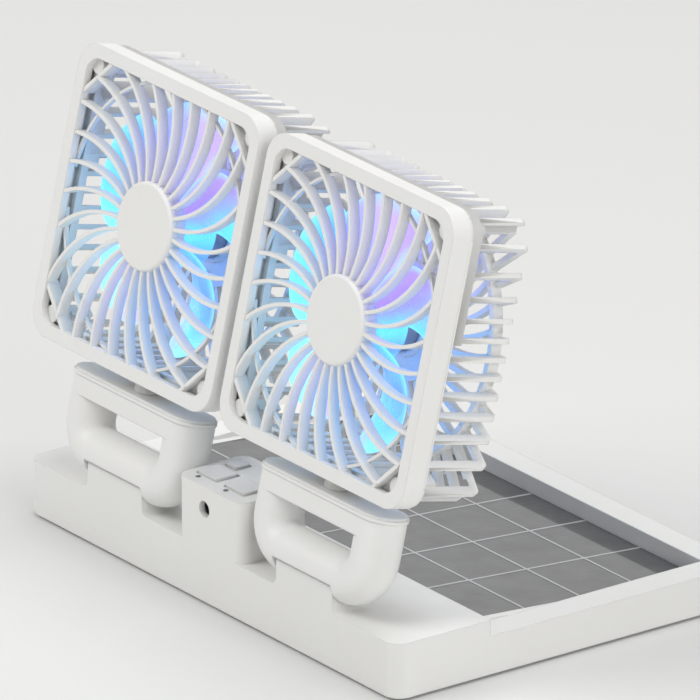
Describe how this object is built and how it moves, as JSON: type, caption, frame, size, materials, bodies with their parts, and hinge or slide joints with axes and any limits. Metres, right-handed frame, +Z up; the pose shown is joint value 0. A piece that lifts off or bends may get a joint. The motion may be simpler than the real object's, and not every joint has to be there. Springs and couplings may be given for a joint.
{
  "type": "car fan with dual square heads",
  "caption": "Car fan with square heads behind swirl grilles, on tilting yokes that swivel, over a flat base with a solar panel, control block and power socket.",
  "frame": {"origin": "on the surface it stands on, below the centre of the overall box", "axes": "+Z up, +Y to the rear, where the solar panel is, +X to the right as seen from the front"},
  "size_m": [0.2212, 0.1532, 0.1748],
  "materials": {
    "base_plastic": "satin white moulded housing",
    "head_plastic": "satin white moulded grille",
    "arm_plastic": "satin white moulding",
    "button_plastic": "satin white push buttons",
    "rubber": "matte black rubber",
    "bright_steel": "plated steel",
    "motor_steel": "plated can",
    "solar_cell": "dark grey laminated cells",
    "cell_line": "light grey printed lines",
    "battery_wrap": "blue wrap",
    "board": "green lacquer",
    "black_plastic": "black moulding",
    "lens": "clear light pipe",
    "blade": "clear blue translucent blades"
  },
  "bodies": {
    "base": {"base_shell": "base_plastic", "base_cover": "base_plastic", "base_feet": "rubber", "base_screws": "bright_steel", "solar_panel": "solar_cell", "panel_grid": "cell_line", "battery_pack": "battery_wrap", "circuit_board": "board", "tact_switches": "black_plastic", "dc_socket": "black_plastic", "socket_pin": "bright_steel", "indicator_lenses": "lens", "left_hinge_pin": "bright_steel", "right_hinge_pin": "bright_steel", "left_hinge_washers": "rubber", "right_hinge_washers": "rubber"},
    "left_arm": {"left_yoke": "arm_plastic", "left_yoke_cap": "arm_plastic"},
    "left_head": {"left_swivel_post": "arm_plastic", "left_swivel_clip": "bright_steel", "left_swivel_screws": "bright_steel", "left_front_grille": "head_plastic", "left_rear_cage": "head_plastic", "left_head_screws": "bright_steel", "left_motor": "motor_steel", "left_led_board": "board"},
    "left_fan": {"left_motor_shaft": "bright_steel", "left_rotor": "blade"},
    "right_arm": {"right_yoke": "arm_plastic", "right_yoke_cap": "arm_plastic"},
    "right_head": {"right_swivel_post": "arm_plastic", "right_swivel_clip": "bright_steel", "right_swivel_screws": "bright_steel", "right_front_grille": "head_plastic", "right_rear_cage": "head_plastic", "right_head_screws": "bright_steel", "right_motor": "motor_steel", "right_led_board": "board"},
    "right_fan": {"right_motor_shaft": "bright_steel", "right_rotor": "blade"},
    "left_fan_key": {"left_fan_button": "button_plastic"},
    "right_fan_key": {"right_fan_button": "button_plastic"},
    "light_key": {"light_button": "button_plastic"}
  },
  "joints": [
    {"name": "left_tilt", "type": "hinge", "parent": "base", "child": "left_arm", "pos_m": [-0.0566, -0.0678, 0.033], "axis": [-1, 0, 0], "range_deg": [-20, 35]},
    {"name": "left_swivel", "type": "hinge", "parent": "left_arm", "child": "left_head", "pos_m": [-0.0566, -0.06095, 0.06221], "axis": [0, 0.2284, 0.9736], "range_deg": [-90, 90]},
    {"name": "left_spin", "type": "hinge", "parent": "left_head", "child": "left_fan", "pos_m": [-0.0566, -0.06187, 0.1222], "axis": [0, -0.9736, 0.2284], "continuous": true},
    {"name": "right_tilt", "type": "hinge", "parent": "base", "child": "right_arm", "pos_m": [0.0566, -0.0678, 0.033], "axis": [-1, 0, 0], "range_deg": [-20, 35]},
    {"name": "right_swivel", "type": "hinge", "parent": "right_arm", "child": "right_head", "pos_m": [0.0566, -0.06095, 0.06221], "axis": [0, 0.2284, 0.9736], "range_deg": [-90, 90]},
    {"name": "right_spin", "type": "hinge", "parent": "right_head", "child": "right_fan", "pos_m": [0.0566, -0.06187, 0.1222], "axis": [0, -0.9736, 0.2284], "continuous": true},
    {"name": "left_fan_key_press", "type": "slide", "parent": "base", "child": "left_fan_key", "axis": [0, 0, -1], "range_m": [0, 0.0008], "stiffness_N_per_m": 900, "springref_m": -0.0005},
    {"name": "right_fan_key_press", "type": "slide", "parent": "base", "child": "right_fan_key", "axis": [0, 0, -1], "range_m": [0, 0.0008], "stiffness_N_per_m": 900, "springref_m": -0.0005},
    {"name": "light_key_press", "type": "slide", "parent": "base", "child": "light_key", "axis": [0, 0, -1], "range_m": [0, 0.0008], "stiffness_N_per_m": 900, "springref_m": -0.0005}
  ]
}
